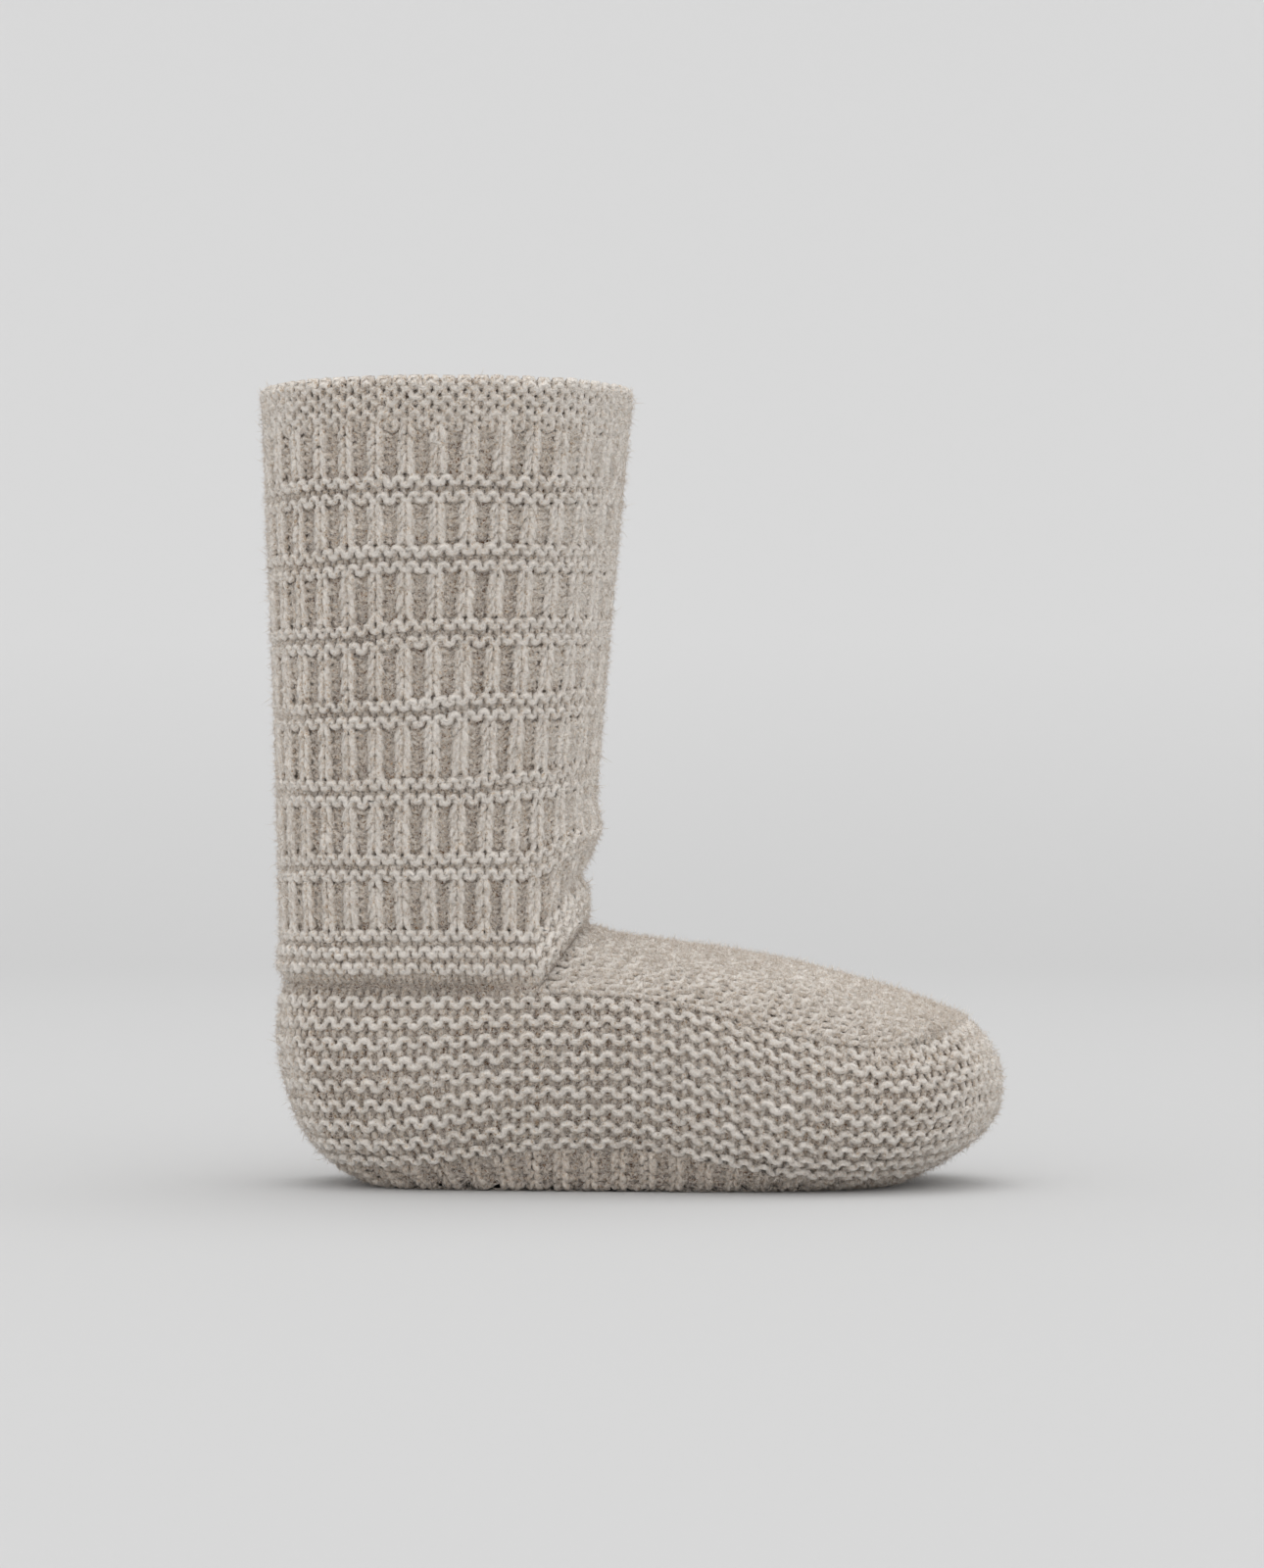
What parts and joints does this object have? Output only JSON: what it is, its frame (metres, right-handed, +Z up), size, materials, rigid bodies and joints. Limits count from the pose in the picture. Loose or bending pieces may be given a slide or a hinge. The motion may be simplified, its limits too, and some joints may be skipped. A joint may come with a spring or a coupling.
{
  "type": "knit slipper boot",
  "caption": "Tall soft slipper sock knitted in thick wool, with a banded rib leg open at the top, a ridged foot and a ribbed sole; stands empty on its sole.",
  "frame": {"origin": "middle of the base of the slipper's box, on the floor plane of its sole", "axes": "+X towards the toe, +Z up the leg, Y across, with the slipper the same on both sides of Y = 0"},
  "size_m": [0.262, 0.1046, 0.2797],
  "materials": {
    "shaft_wool": "matte, fuzzy rib and garter knitting",
    "upper_wool": "matte, fuzzy garter knitting",
    "sole_wool": "matte, fuzzy rib knitting"
  },
  "bodies": {
    "root": {"shaft": "shaft_wool", "upper": "upper_wool", "sole": "sole_wool"}
  },
  "joints": []
}
